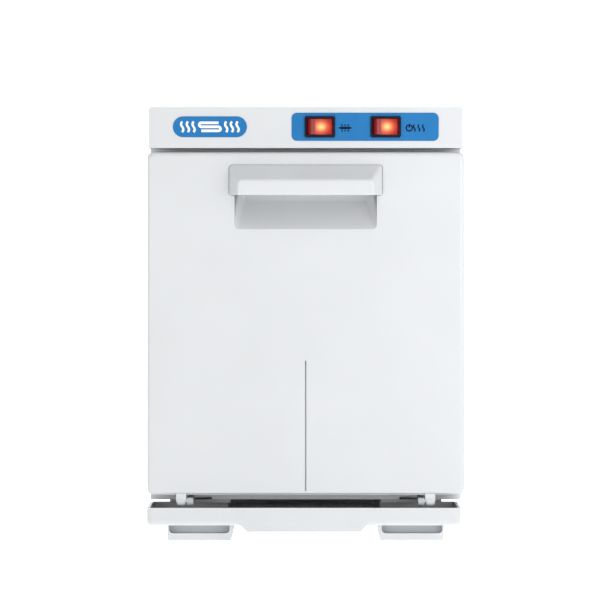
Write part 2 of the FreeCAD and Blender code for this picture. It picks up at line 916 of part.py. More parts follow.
def switch_housing(x):
    """Black housing with a thin flange, snapped into the fascia."""
    flange = block(
        (x - bezel_width / 2, x + bezel_width / 2),
        (bezel_face, front),
        (fascia_z - bezel_height / 2, fascia_z + bezel_height / 2),
    )
    flange = rounded(flange, bezel_radius, Y_AXIS)
    body = block(
        (x - switch_body_width / 2, x + switch_body_width / 2),
        (front, front + switch_body_depth),
        (fascia_z - switch_body_height / 2, fascia_z + switch_body_height / 2),
    )
    opening_half = rocker_height / 2 + rocker_clearance
    well_half = rocker_swing_radius - switch_lip + rocker_clearance
    well = block(
        (x - well_half, x + well_half),
        (bezel_face - 1, front + switch_well_depth),
        (fascia_z - opening_half, fascia_z + opening_half),
    )
    low_middle = (x, pivot_y, fascia_z - opening_half)
    swing = rod(rocker_swing_radius + rocker_clearance, 2 * opening_half, low_middle, Z_AXIS)
    sockets = rod(
        rocker_axle_radius + pin_clearance,
        2 * (opening_half + rocker_axle_length),
        (x, pivot_y, fascia_z - opening_half - rocker_axle_length),
        Z_AXIS,
    )
    back = front + switch_body_depth
    tabs = [
        block(
            (x + dx - tab_thickness / 2, x + dx + tab_thickness / 2),
            (back, back + switch_tab_length),
            (fascia_z - switch_tab_width / 2, fascia_z + switch_tab_width / 2),
        )
        for dx in (-switch_tab_pitch, 0, switch_tab_pitch)
    ]
    return flange.fuse(body).cut(well).cut(swing).cut(sockets).multiFuse(tabs)


def rocker(x):
    """See-through rocker with a shallow V face; one half is pressed in, as when switched on."""
    half = rocker_height / 2
    low = fascia_z - half
    dip = math.tan(math.radians(rocker_angle)) * rocker_swing_radius
    profile = [
        (x, pivot_y - rocker_face_radius, low),
        (x + rocker_swing_radius, pivot_y - rocker_face_radius - dip, low),
        (x + rocker_swing_radius, pivot_y + rocker_back, low),
        (x - rocker_swing_radius, pivot_y + rocker_back, low),
        (x - rocker_swing_radius, pivot_y - rocker_face_radius - dip, low),
    ]
    body = prism(profile, V(0, 0, rocker_height))
    body = body.common(rod(rocker_swing_radius, rocker_height, (x, pivot_y, low), Z_AXIS))
    reach = half + rocker_clearance + rocker_axle_length - rocker_axle_end_gap
    body = body.fuse(rod(rocker_axle_radius, 2 * reach, (x, pivot_y, fascia_z - reach), Z_AXIS))
    body.rotate(V(x, pivot_y, 0), Z_AXIS, rocker_angle)
    return body


# ---------------------------------------------------------------- electrics
def ballast():
    w, d, h = ballast_size
    x = ballast_corner[0]
    y = body_front + ballast_corner[1]
    coil = block((x, x + w), (y, y + d), (body_top + ballast_plate, body_top + ballast_plate + h))
    inset = d / 8
    feet = block(
        (x - ballast_foot, x + w + ballast_foot),
        (y + inset, y + d - inset),
        (body_top, body_top + ballast_plate),
    )
    return coil.fuse(feet)


def lamp_starter():
    """Small can lying in its socket beside the ballast."""
    x = starter_corner[0]
    y = body_front + starter_corner[1]
    z = body_top + starter_radius + ballast_plate
    can = rod(starter_radius, starter_length, (x, y, z), X_AXIS)
    socket = block(
        (x + starter_length, x + starter_length + starter_socket),
        (y - starter_radius, y + starter_radius),
        (body_top, z + starter_radius / 2),
    )
    return can.fuse(socket)


def terminal_block():
    w, d, h = terminal_size
    x = terminal_corner[0]
    y = body_front + terminal_corner[1]
    body = block((x, x + w), (y, y + d), (body_top, body_top + h))
    for index in range(terminal_poles):
        centre = (x + (index + 0.5) * w / terminal_poles, y + d / 2, body_top + h / 2)
        body = body.cut(rod(terminal_hole, h, centre, Z_AXIS))
    return body


def inlet_gland():
    """Plastic bush that the mains lead passes through."""
    z = base_height + gland_height
    flange = rod(gland_flange_radius, gland_flange, (0, body_back, z), Y_AXIS)
    nose = rod(gland_radius - gland_step, gland_projection, (0, body_back, z), Y_AXIS)
    barrel = rod(gland_radius, sheet + gland_inside, (0, wrap_back - gland_inside, z), Y_AXIS)
    bore = rod(gland_bore_radius, 4 * gland_inside, (0, wrap_back - 2 * gland_inside, z), Y_AXIS)
    return flange.multiFuse([nose, barrel]).cut(bore)


# ---------------------------------------------------------------- door
def pocket_void(grow=0.0):
    """The finger pocket's hollow, or that hollow grown on every side."""
    high = grip_low + pocket_rise + grow
    deep = front + pocket_depth + grow
    half = pocket_width / 2 + grow
    steepness = pocket_slope * pocket_height / pocket_depth
    foot = pocket_low - grow * math.sqrt(1 + steepness * steepness)
    outline = [
        (-half, front - (1 if grow == 0 else 0), foot),
        (-half, front, foot),
        (-half, deep, foot + steepness * (deep - front)),
        (-half, deep, high),
        (-half, front - (1 if grow == 0 else 0), high),
    ]
    return prism(outline, V(2 * half, 0, 0))


def door_skin():
    """Moulded door front with its sides, the pocket's walls and the two hinge knuckles."""
    outer = block((-door_half, door_half), (front, door_back), (door_low, door_high))
    outer = rounded(outer, door_corner_radius, Y_AXIS)
    outer = outer.makeFillet(
        door_edge_radius, edges_at(outer, lambda p, near: abs(p.y - front) < near)
    )
    inner = block(
        (-door_half + door_wall, door_half - door_wall),
        (front + door_wall, door_back + 1),
        (door_low + door_wall, door_high - door_wall),
    )
    skin = outer.cut(inner).fuse(pocket_void(door_wall)).cut(pocket_void())
    groove = block(
        (-groove_width / 2, groove_width / 2),
        (front - 1, front + groove_depth),
        (door_low + groove_foot, door_low + groove_foot + groove_length),
    )
    skin = skin.cut(groove)
    for side in (-1, 1):
        x = side * knuckle_centre - knuckle_width / 2
        width = (x, x + knuckle_width)
        lug = rod(knuckle_radius, knuckle_width, (x, hinge_y, hinge_height), X_AXIS)
        near = hinge_y - knuckle_radius
        web = block(width, (near, near + 2 * knuckle_radius), (hinge_height, door_low + door_wall))
        web = web.cut(block(width, (near, front + knuckle_face_step), (door_low, door_high)))
        skin = skin.fuse(lug).fuse(web)
        bore = rod(pin_radius + pin_clearance, knuckle_width + 2, (x - 1, hinge_y, hinge_height), X_AXIS)
        skin = skin.cut(bore)
    return skin.removeSplitter()


def grip_form(inset=0.0):
    """The grip's sloping form: wide on the door, narrower at its face."""
    face = front - grip_projection + inset
    low = grip_low - (1 if inset else 0)
    back_half = grip_width / 2 - inset
    face_half = grip_face_width / 2 - inset
    back_outline = [
        V(-back_half, front, low),
        V(back_half, front, low),
        V(back_half, front, grip_high - inset),
        V(-back_half, front, grip_high - inset),
    ]
    face_outline = [
        V(-face_half, face, low),
        V(face_half, face, low),
        V(face_half, face, grip_low + grip_face_height - inset),
        V(-face_half, face, grip_low + grip_face_height - inset),
    ]
    wires = [Part.makePolygon(o + o[:1]) for o in (back_outline, face_outline)]
    return Part.makeLoft(wires, True, True)


def door_grip():
    """Hollow grip, open underneath and at the back, where fingers reach up."""
    outer = grip_form()
    outer = outer.makeFillet(
        grip_edge_radius, edges_at(outer, lambda p, near: p.y < front - near and p.z > grip_low + near)
    )
    return outer.cut(grip_form(grip_wall))


def door_liner():
    """Inner panel with a raised middle and a channel for the gasket."""
    half = door_half - door_wall
    plate = block(
        (-half, half), (door_back - liner_thickness, door_back), (door_low + door_wall, door_high - door_wall)
    )
    plug_half = chamber_half - liner_plug_margin
    plug_z = (chamber_low + liner_plug_margin, chamber_high - liner_plug_margin)
    far = body_front + liner_plug_height
    plug = block((-plug_half, plug_half), (door_back - liner_thickness, far), plug_z)
    plug = rounded(plug, plug_radius, Y_AXIS)
    hollow = block(
        (-plug_half + liner_thickness, plug_half - liner_thickness),
        (door_back - liner_thickness - 1, far - liner_thickness),
        (plug_z[0] + liner_thickness, plug_z[1] - liner_thickness),
    )
    strike_seat = block(
        (-catch_width / 2, catch_width / 2),
        (door_back - strike_thickness / 2, door_back + 1),
        (catch_low, catch_low + catch_height),
    )
    return plate.fuse(plug).cut(hollow).cut(strike_seat)


def door_gasket():
    """Soft square ring that closes on the front frame."""
    inner_half = chamber_half + gasket_inset
    outer_half = inner_half + gasket_width
    y = (door_back, body_front - running_clearance)
    low = chamber_low - gasket_inset
    high = chamber_high + gasket_inset
    seal = block((-outer_half, outer_half), y, (low - gasket_width, high + gasket_width))
    seal = rounded(seal, gasket_radius, Y_AXIS)
    window = block((-inner_half, inner_half), (y[0] - 1, y[1] + 1), (low, high))
    return seal.cut(rounded(window, gasket_radius / 2, Y_AXIS))


def strike_plate():
    near = door_back - strike_thickness / 2
    return block(
        (-catch_width / 2, catch_width / 2),
        (near, near + strike_thickness),
        (catch_low, catch_low + catch_height),
    )


def door_insulation():
    gap = insulation_gap
    half = door_half - door_wall - gap
    pad = block(
        (-half, half),
        (front + door_wall + gap, door_back - liner_thickness - gap),
        (door_low + door_wall + gap, door_high - door_wall - gap),
    )
    return pad.cut(pocket_void(door_wall + gap))


# ---------------------------------------------------------------- hinge, fixed half
def hinge_bracket():
    """Right-hand bracket: a plate under the body, with an ear in front that holds the pin."""
    x = (bracket_inner, bracket_outer)
    plate_y = (body_front - bracket_body_gap, bracket_back)
    plate = block(x, plate_y, (base_height - bracket_plate, base_height))
    z = (hinge_height - bracket_radius, hinge_height + bracket_radius - bracket_top_trim)
    ear_x = (bracket_outer - bracket_ear, bracket_outer)
    ear = block(ear_x, (hinge_y, body_front - bracket_body_gap), z)
    nose = rod(bracket_radius, bracket_ear, (ear_x[0], hinge_y, hinge_height), X_AXIS)
    nose = nose.common(block(ear_x, (hinge_y - 2 * bracket_radius, body_front), z))
    bracket = plate.fuse(ear).fuse(nose)
    bracket = bracket.cut(rod(pin_radius, bracket_ear + 2, (ear_x[0] - 1, hinge_y, hinge_height), X_AXIS))
    for place in hinge_screw_places:
        if place[0] > 0:
            bracket = bracket.cut(screw_hole(place, Z_AXIS))
    return bracket.removeSplitter()


def hinge_pin():
    start = bracket_outer - bracket_ear + pin_inset
    end = knuckle_centre + knuckle_width / 2
    return rod(pin_radius, end - start, (start, hinge_y, hinge_height), X_AXIS)


# ---------------------------------------------------------------- drip tray
def drip_tray():
    """Full-width gutter with a long tongue behind it and a pull flap in front."""
    half = tray_width / 2
    z = (tray_bottom, tray_rim)
    gutter = rounded(block((-half, half), (tray_front, gutter_back), z), tray_corner_radius, Z_AXIS)
    lower = edges_at(gutter, lambda p, near: abs(p.z - tray_bottom) < near)
    gutter = gutter.makeFillet(tray_corner_radius - 0.5, lower)
    tongue = block((-tongue_half, tongue_half), (gutter_back - tray_wall, tongue_back), z)
    wall = tray_wall
    gutter_hollow = block(
        (-half + wall, half - wall),
        (tray_front + wall, gutter_back - wall),
        (tray_bottom + wall, tray_rim + 1),
    )
    gutter_hollow = rounded(gutter_hollow, tray_corner_radius - wall / 2, Z_AXIS)
    tongue_hollow = block(
        (-tongue_half + wall, tongue_half - wall),
        (gutter_back - 2 * wall - 1, tongue_back - wall),
        (tray_bottom + wall, tray_rim + 1),
    )
    flap = prism(
        [
            (-tray_flap_width / 2, tray_front + 1, tray_bottom + wall),
            (tray_flap_width / 2, tray_front + 1, tray_bottom + wall),
            (tray_flap_width / 2, tray_front + 1, tray_bottom),
            (tray_flap_foot_width / 2, tray_front + 1, tray_bottom - tray_flap_drop),
            (-tray_flap_foot_width / 2, tray_front + 1, tray_bottom - tray_flap_drop),
            (-tray_flap_width / 2, tray_front + 1, tray_bottom),
        ],
        V(0, tray_flap_thickness, 0),
    )
    tray = gutter.fuse(tongue).cut(gutter_hollow).cut(tongue_hollow)
    tray = tray.fuse(flap.cut(gutter_hollow)).removeSplitter()
    tray.translate(V(tray_offset, 0, 0))
    return tray


def tray_rail():
    """Right-hand rail under the base: the tray's tongue runs on its ledge."""
    y = (rail_front, rail_back)
    ledge_top = tray_bottom - running_clearance
    upright = block((rail_inner, rail_inner + rail_wall), y, (ledge_top - rail_wall, base_height))
    ledge = block((rail_inner - rail_ledge, rail_inner + rail_wall), y, (ledge_top - rail_wall, ledge_top))
    flange_x = (rail_inner, rail_outer)
    flange = block(flange_x, y, (base_height - rail_wall, base_height))
    rail = upright.multiFuse([ledge, flange])
    for place in rail_screw_places:
        if place[0] > 0:
            rail = rail.cut(screw_hole(place, V(0, 0, -1)))
    return rail.removeSplitter()


# ---------------------------------------------------------------- feet
def foot():
    """Front right foot: a long low pad, tapered towards the floor, that reaches forward under
    the tray from its pillar."""
    x = (foot_centre - foot_width / 2, foot_centre + foot_width / 2)
    near = front + foot_set_back
    pad_top = tray_bottom - foot_tray_gap
    pad = rounded(block(x, (near, foot_far), (foot_lift, pad_top)), foot_corner_radius, Z_AXIS)
    for edge, taper in ((x[0], foot_taper_inner), (x[1], -foot_taper_outer)):
        wedge = [(edge, near - 1, pad_top), (edge, near - 1, foot_lift), (edge + taper, near - 1, foot_lift)]
        pad = pad.cut(prism(wedge, V(0, foot_length + 2, 0)))
    pillar = block((pillar_inner, foot_outer), (pillar_front, pillar_back), (pad_top, base_height))
    notch = block(
        (x[0] + foot_notch_inner, x[1] - foot_notch_outer),
        (near - 1, near + foot_notch_depth),
        (foot_lip_height, pad_top + 2 * foot_notch_radius),
    )
    notch = notch.makeFillet(foot_notch_radius, edges_along(notch, Y_AXIS))
    body = pad.fuse(pillar).cut(notch)
    for y in pad_rows:
        seat = rod(pad_radius, pad_thickness - foot_lift, (foot_centre, y, foot_lift), Z_AXIS)
        body = body.cut(seat)
    middle = (pillar_front + pillar_back) / 2
    body = body.cut(screw_hole((pillar_centre, middle, base_height + sheet), V(0, 0, -1)))
    return body


pad_rows = (
    front + foot_set_back + foot_notch_depth + pad_radius,
    foot_far - pad_radius - foot_corner_radius,
)


def rear_foot(shape):
    """The same foot, turned to face the back."""
    turned = shape.copy()
    turned.rotate(V(0, 0, 0), Z_AXIS, 180)
    turned.translate(V(0, rear_shift, 0))
    return turned


def foot_pads():
    """Rubber discs glued under the feet."""
    discs = []
    for side in (-1, 1):
        for y in pad_rows:
            discs.append(rod(pad_radius, pad_thickness, (side * foot_centre, y, 0), Z_AXIS))
            discs.append(rod(pad_radius, pad_thickness, (side * foot_centre, rear_shift - y, 0), Z_AXIS))
    return discs


# ---------------------------------------------------------------- build
os.makedirs("parts", exist_ok=True)

save("outer_wrap", outer_wrap())
save("base_pan", base_pan())
save("back_cover", back_cover())
save("back_flange", back_flange())
save("front_frame", front_frame())
save("chamber", chamber())
save("uv_lamp", uv_lamp())
save("lamp_holders", lamp_holder(), mirrored(lamp_holder()))
save("lamp_guard", lamp_guard())
save("heater_mat", heater_mat())
save("thermostat", thermostat())
save("thermal_fuse", thermal_fuse())
save("insulation_sides", insulation_side(), mirrored(insulation_side()))
save("insulation_top", insulation_top())
save("insulation_floor", insulation_floor())
save("insulation_rear", insulation_rear())
save("rack_rails", rack_rail(), mirrored(rack_rail()))
save("magnet_catch", magnet_catch())
save("wire_rack", wire_rack())

save("cap_housing", cap_housing())
save("cap_underplate", cap_underplate())
save("panel_overlay", panel_overlay())
save("badge_overlay", badge_overlay())
save("panel_symbols", *panel_symbols())
save("badge_symbols", *badge_symbols())
save("lamp_switch_housing", switch_housing(lamp_switch_x))
save("power_switch_housing", switch_housing(power_switch_x))
save("lamp_rocker", rocker(lamp_switch_x))
save("power_rocker", rocker(power_switch_x))
save("ballast", ballast())
save("lamp_starter", lamp_starter())
save("terminal_block", terminal_block())
save("inlet_gland", inlet_gland())

save("door_skin", door_skin())
save("door_grip", door_grip())
save("door_liner", door_liner())
save("door_gasket", door_gasket())
save("door_insulation", door_insulation())
save("strike_plate", strike_plate())

save("hinge_bracket_right", hinge_bracket())
save("hinge_bracket_left", mirrored(hinge_bracket()))
save("hinge_pin_right", hinge_pin())
save("hinge_pin_left", mirrored(hinge_pin()))

save("drip_tray", drip_tray())
save("tray_rail_right", tray_rail())
save("tray_rail_left", mirrored(tray_rail()))

save("foot_front_right", foot())
save("foot_front_left", mirrored(foot()))
save("foot_rear_left", rear_foot(foot()))
save("foot_rear_right", rear_foot(mirrored(foot())))
save("foot_pads", *foot_pads())

save("back_screws", *[screw(place, V(0, -1, 0)) for place in back_screw_places])
save("foot_screws", *[screw(place, V(0, 0, -1)) for place in foot_screw_places()])
save("rail_screws", *[screw(place, V(0, 0, -1)) for place in rail_screw_places])
save("hinge_screws", *[screw(place, Z_AXIS, low_head_height) for place in hinge_screw_places])
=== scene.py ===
import json
import math

import bmesh
import bpy
from mathutils import Matrix, Vector


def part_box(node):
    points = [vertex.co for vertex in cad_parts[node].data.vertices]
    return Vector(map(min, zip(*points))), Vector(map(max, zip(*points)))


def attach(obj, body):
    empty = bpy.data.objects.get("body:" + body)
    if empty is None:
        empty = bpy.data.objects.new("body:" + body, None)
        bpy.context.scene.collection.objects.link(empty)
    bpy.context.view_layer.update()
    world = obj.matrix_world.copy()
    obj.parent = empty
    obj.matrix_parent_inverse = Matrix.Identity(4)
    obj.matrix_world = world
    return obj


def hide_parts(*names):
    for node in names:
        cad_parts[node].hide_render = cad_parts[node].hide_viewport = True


# Hot towel cabinet: its looks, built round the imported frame, in metres and in the
# frame's own axes: +X to the right, -Y towards the user, +Z up.
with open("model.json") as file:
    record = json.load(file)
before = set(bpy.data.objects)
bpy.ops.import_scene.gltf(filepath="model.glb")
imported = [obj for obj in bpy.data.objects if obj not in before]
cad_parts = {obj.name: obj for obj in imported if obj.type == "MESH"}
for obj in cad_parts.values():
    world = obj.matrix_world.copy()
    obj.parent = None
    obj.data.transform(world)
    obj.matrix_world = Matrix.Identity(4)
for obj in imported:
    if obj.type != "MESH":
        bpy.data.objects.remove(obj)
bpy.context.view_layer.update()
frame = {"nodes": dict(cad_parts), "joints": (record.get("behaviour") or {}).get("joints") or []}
nodes = frame["nodes"]
mm = 0.001

# ======================================================================================
# Camera: level with the upper part of the door, straight on and far back, as for a
# catalogue picture. A small shift keeps the uprights parallel and centres the cabinet.
# ======================================================================================
front_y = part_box("cap_housing")[0].y
camera_distance = 2200 * mm
camera_height = 198 * mm
field_width = 420 * mm
camera_data = bpy.data.cameras.new("camera")
camera = bpy.data.objects.new("camera", camera_data)
camera.location = (0, front_y - camera_distance, camera_height)
camera.rotation_euler = (math.pi / 2, 0, 0)
film_width = 36  # millimetres, as the lens's length is
shift_sideways = -0.0095  # shares of the picture's width
shift_upwards = -0.0667
nearest_seen = 0.01
farthest_seen = 50
camera_data.sensor_width = film_width
camera_data.lens = film_width * camera_distance / field_width
camera_data.shift_x = shift_sideways
camera_data.shift_y = shift_upwards
camera_data.clip_start = nearest_seen
camera_data.clip_end = farthest_seen
bpy.context.scene.collection.objects.link(camera)
bpy.context.scene.camera = camera
bpy.context.scene.view_settings.view_transform = "Standard"

# ======================================================================================
# Light: a pale studio tent, a soft box to each side in front, one above, and a smaller
# one close by on the right, so that the door brightens from left to right.
# ======================================================================================
world = bpy.data.worlds.new("white_tent")
bpy.context.scene.world = world
world.use_nodes = True
background = world.node_tree.nodes["Background"]
white_light = (1.0, 1.0, 1.0, 1.0)
tent_strength = 0.52
background.inputs["Color"].default_value = white_light
background.inputs["Strength"].default_value = tent_strength


def softbox(name, place, target, width, height, power):
    """A rectangular soft box that faces a point. Only its light shows, never the box."""
    light = bpy.data.lights.new(name, "AREA")
    light.shape = "RECTANGLE"
    light.size = width
    light.size_y = height
    light.energy = power
    made = bpy.data.objects.new(name, light)
    made.location = place
    aim = Vector(target) - Vector(place)
    made.rotation_euler = aim.to_track_quat("-Z", "Y").to_euler()
    made.visible_camera = False
    bpy.context.scene.collection.objects.link(made)


cabinet_middle = (0, front_y, 150 * mm)
front_box_size = (0.8, 0.5)
front_box_watts = 7.0
for name, sideways in (("left_front_box", -1.2), ("right_front_box", 1.2)):
    front_box_place = (sideways, -2.3, 0.20)
    softbox(name, front_box_place, cabinet_middle, *front_box_size, front_box_watts)
door_right_side = (0.10, front_y, 0.17)
right_box_place = (0.40, -0.46, 0.34)
right_box_size = (0.30, 0.45)
right_box_watts = 0.9
softbox("right_box", right_box_place, door_right_side, *right_box_size, right_box_watts)
top_box_place = (0.0, -0.8, 1.4)
top_box_watts = 3.4
softbox("top_box", top_box_place, cabinet_middle, *front_box_size, top_box_watts)


# ======================================================================================
# Floor and backdrop: translucent white acrylic lit from below and behind, as on a light
# table, which keeps the shadows faint. It is matte, so it mirrors nothing.
# ======================================================================================
def linear(code):
    """An sRGB hex colour such as "#E8EAED" as linear red, green, blue and alpha."""
    parts = [int(code[i : i + 2], 16) / 255 for i in (1, 3, 5)]
    return [p / 12.92 if p <= 0.04045 else ((p + 0.055) / 1.055) ** 2.4 for p in parts] + [1.0]


def finish(name, code, roughness, **sockets):
    """A new material with its shader's own sockets set. Returns material, tree, shader."""
    made = bpy.data.materials.new(name)
    made.use_nodes = True
    tree = made.node_tree
    shader = tree.nodes["Principled BSDF"]
    shader.inputs["Base Color"].default_value = linear(code)
    shader.inputs["Roughness"].default_value = roughness
    for socket, value in sockets.items():
        shader.inputs[socket.replace("_", " ")].default_value = value
    return made, tree, shader


def thing(name, bm):
    """A bmesh made an object at the origin."""
    mesh = bpy.data.meshes.new(name)
    bm.to_mesh(mesh)
    bm.free()
    made = bpy.data.objects.new(name, mesh)
    bpy.context.scene.collection.objects.link(made)
    return made


acrylic, tree, shader = finish("light_table_acrylic", "#FFFFFF", roughness=0.9, Specular_IOR_Level=0.0)
floor_glow = 0.76
shader.inputs["Emission Color"].default_value = white_light
shader.inputs["Emission Strength"].default_value = floor_glow
floor_half = 6.0
bm = bmesh.new()
bmesh.ops.create_grid(bm, x_segments=1, y_segments=1, size=floor_half)
floor = thing("floor", bm)
floor.data.materials.append(acrylic)
bm = bmesh.new()
bmesh.ops.create_grid(bm, x_segments=1, y_segments=1, size=floor_half)
upright = Matrix.Translation((0, floor_half, floor_half)) @ Matrix.Rotation(math.pi / 2, 4, "X")
bmesh.ops.transform(bm, matrix=upright, verts=bm.verts)
backdrop = thing("backdrop", bm)
lit_paper, tree, shader = finish("lit_white_backdrop", "#FFFFFF", roughness=0.9, Specular_IOR_Level=0.0)
backdrop_glow = 0.85
shader.inputs["Emission Color"].default_value = white_light
shader.inputs["Emission Strength"].default_value = backdrop_glow
backdrop.data.materials.append(lit_paper)


# ======================================================================================
# Feet: four like mouldings of matte white ABS, each a long low pad that tapers towards
# the floor, with a notch across its outer end and a pillar screwed to the base pan.
# ======================================================================================
def add(tree, kind, settings=None, links=None):
    """Adds a node: settings are its properties or sockets, links its inputs' sources."""
    made = tree.nodes.new(kind)
    for name, value in (settings or {}).items():
        if name in made.inputs:
            made.inputs[name].default_value = value
        else:
            setattr(made, name, value)
    for name, source in (links or {}).items():
        tree.links.new(source, made.inputs[name])
    return made


def grain(tree, shader, size, height, stretch=(1, 1, 1), detail=2.0):
    """Surface relief: noise with features of a real size, raised by a real height."""
    place = add(tree, "ShaderNodeTexCoord")
    turned = add(tree, "ShaderNodeMapping", {"Scale": stretch}, {"Vector": place.outputs["Object"]})
    noise = add(
        tree,
        "ShaderNodeTexNoise",
        {"Scale": 1 / size, "Detail": detail},
        {"Vector": turned.outputs["Vector"]},
    )
    bump = add(tree, "ShaderNodeBump", {"Distance": height}, {"Height": noise.outputs["Fac"]})
    tree.links.new(bump.outputs["Normal"], shader.inputs["Normal"])


def mottle(tree, shader, socket, low, high, size, stretch=(1, 1, 1), detail=3.0):
    """Lets a socket wander between two values, or two colours, over patches of a real size."""
    place = add(tree, "ShaderNodeTexCoord")
    turned = add(tree, "ShaderNodeMapping", {"Scale": stretch}, {"Vector": place.outputs["Object"]})
    noise = add(
        tree,
        "ShaderNodeTexNoise",
        {"Scale": 1 / size, "Detail": detail},
        {"Vector": turned.outputs["Vector"]},
    )
    if isinstance(low, str):
        ramp_ends = (0.35, 0.65)  # the noise seldom leaves the middle of its range
        ramp = add(tree, "ShaderNodeValToRGB", links={"Fac": noise.outputs["Fac"]})
        for element, position, code in zip(ramp.color_ramp.elements, ramp_ends, (low, high)):
            element.position = position
            element.color = linear(code)
        tree.links.new(ramp.outputs["Color"], shader.inputs[socket])
    else:
        spread = add(
            tree,
            "ShaderNodeMapRange",
            {"From Min": 0.3, "From Max": 0.7, "To Min": low, "To Max": high},
            {"Value": noise.outputs["Fac"]},
        )
        tree.links.new(spread.outputs["Result"], shader.inputs[socket])


def placed(made, body, material, replaces=(), edge=0.35 * mm, segments=2):
    """Softens a finished piece's edges, gives it its material and sets it on its body."""
    broad = 1000 * mm * mm  # faces as large as this are flat, and are shaded flat
    crease = math.radians(35)
    for polygon in made.data.polygons:
        polygon.use_smooth = polygon.area < broad
    made.data.materials.clear()
    made.data.materials.append(material)
    if edge:
        bevel = made.modifiers.new("edges", "BEVEL")
        bevel.width = edge
        bevel.segments = segments
        bevel.limit_method = "ANGLE"
        bevel.angle_limit = crease
        bevel.loop_slide = False
    weighted = made.modifiers.new("shading", "WEIGHTED_NORMAL")
    weighted.keep_sharp = True
    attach(made, body)
    if replaces:
        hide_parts(*replaces)
    return made


def from_cad(name):
    """A copy of a CAD piece's mesh, with its loose triangles merged into clean faces."""
    same_place = 0.002 * mm
    flat_enough = math.radians(0.5)
    copy = bmesh.new()
    copy.from_mesh(nodes[name].data)
    bmesh.ops.remove_doubles(copy, verts=copy.verts, dist=same_place)
    bmesh.ops.dissolve_limit(copy, angle_limit=flat_enough, verts=copy.verts, edges=copy.edges)
    return thing(name + "_finished", copy)


def dressed(material, slot, body, *names, edge=0.3 * mm, segments=2):
    """CAD pieces whose shape is right already: they get soft edges and their material."""
    for name in names:
        placed(from_cad(name), body, material, [name], edge, segments)


# Straight from a matte tool, so it glows softly and shows no sharp reflection.
matte_abs, tree, shader = finish("moulded_matte_abs", "#CCCED0", roughness=0.5, IOR=1.53)
mottle(tree, shader, "Base Color", low="#CACCCE", high="#CED0D2", size=30 * mm)
grain(tree, shader, size=0.9 * mm, height=0.01 * mm)
foot_edge = 1.6 * mm
foot_names = ["foot_front_left", "foot_front_right", "foot_rear_left", "foot_rear_right"]
dressed(matte_abs, "white_foot_abs", "cabinet", *foot_names, edge=foot_edge, segments=4)

# ======================================================================================
# Foot pads: eight discs of moulded rubber, glued into round seats under the feet. The
# rubber is dark and dull, with a faint bloom.
# ======================================================================================
rubber, tree, shader = finish("moulded_rubber", "#3A3B3D", roughness=0.75, IOR=1.5)
mottle(tree, shader, "Roughness", low=0.65, high=0.85, size=12 * mm)
grain(tree, shader, size=0.5 * mm, height=0.01 * mm)
dressed(rubber, "grey_rubber", "cabinet", "foot_pads", edge=0.4 * mm)

# ======================================================================================
# Base pan and rear flange: zinc-plated steel sheet, cut and bent, behind the casing. The
# plating is a cool grey with a slight blotchy spangle.
# ======================================================================================
zinc, tree, shader = finish("zinc_plated_steel", "#B4B6B8", roughness=0.42, Metallic=1.0)
mottle(tree, shader, "Base Color", low="#A5A8AB", high="#BDBFC0", size=9 * mm)
grain(tree, shader, size=1.2 * mm, height=0.004 * mm)
dressed(zinc, "zinc_steel", "cabinet", "base_pan", "back_flange")

# ======================================================================================
# Tray rails: two ABS angles screwed under the base pan, on whose ledges the drip tray's
# tongue runs.
# ======================================================================================
dressed(matte_abs, "white_foot_abs", "cabinet", "tray_rail_left", "tray_rail_right")

# ======================================================================================
# Hinge brackets: two mouldings of ABS under the front edge, screwed to the base pan, in a
# mid grey that is painted shade. An ear at the outer end of each carries the hinge pin.
# ======================================================================================
# Dull, and darker than the casing as painted shade, so that the brackets stay dim beneath the bright
# door.
bracket_abs_painted_shade, tree, shader = finish("grey_abs_painted_shade", "#A8AAAD", roughness=0.45, IOR=1.53)
mottle(tree, shader, "Base Color", low="#A6A8AB", high="#AAACAF", size=40 * mm)
grain(tree, shader, size=0.8 * mm, height=0.008 * mm)
dressed(bracket_abs_painted_shade, "grey_abs", "cabinet", "hinge_bracket_left", "hinge_bracket_right", edge=0.4 * mm)

# ======================================================================================
# Screws and hinge pins: turned steel, bright plated. Pan heads hold the back cover, the
# feet, the rails and the brackets; the pins are plain, and stay fixed in the brackets.
# ======================================================================================
# Fine turning marks spread the highlights a little.
plated, tree, shader = finish("bright_plated_steel", "#C2C4C6", roughness=0.25, Metallic=1.0)
mottle(tree, shader, "Roughness", low=0.2, high=0.34, size=2 * mm)
grain(tree, shader, size=0.4 * mm, height=0.002 * mm)
screw_names = ["back_screws", "foot_screws", "rail_screws", "hinge_screws"]
dressed(plated, "steel_pin", "cabinet", *screw_names, edge=0.2 * mm)
dressed(plated, "steel_pin", "cabinet", "hinge_pin_left", "hinge_pin_right", edge=0.2 * mm)

# ======================================================================================
# Front frame: a moulding of grey ABS, made paler as painted light, round the chamber mouth,
# plugged into the steel wrap. Two slots in its foot drain condensed water into the tray.
# ======================================================================================
# Duller than the casing, and a shade paler as painted light, so that it still reads as light in the
# shade.
inner_abs_painted_light, tree, shader = finish("grey_abs_painted_light", "#D6D8DA", roughness=0.45, IOR=1.53)
mottle(tree, shader, "Base Color", low="#D4D6D8", high="#D8DADC", size=40 * mm)
grain(tree, shader, size=0.8 * mm, height=0.008 * mm)
dressed(inner_abs_painted_light, "grey_abs", "cabinet", "front_frame", edge=0.5 * mm, segments=3)

# ======================================================================================
# Chamber: a box folded from brushed aluminium sheet, open to the front, its narrow
# flange held behind the front frame.
# ======================================================================================
# The brushing runs from side to side and draws reflections out into streaks. Its lines
# are drawn coarser than the real ones, so that they show.
brushed, tree, shader = finish("brushed_aluminium", "#D5D6D8", roughness=0.32, Metallic=1.0)
mottle(tree, shader, "Roughness", low=0.29, high=0.36, size=4 * mm, stretch=(0.06, 1, 1))
grain(tree, shader, size=0.5 * mm, height=0.001 * mm, stretch=(0.03, 1, 1))
dressed(brushed, "chamber_aluminium", "cabinet", "chamber", edge=0.3 * mm)

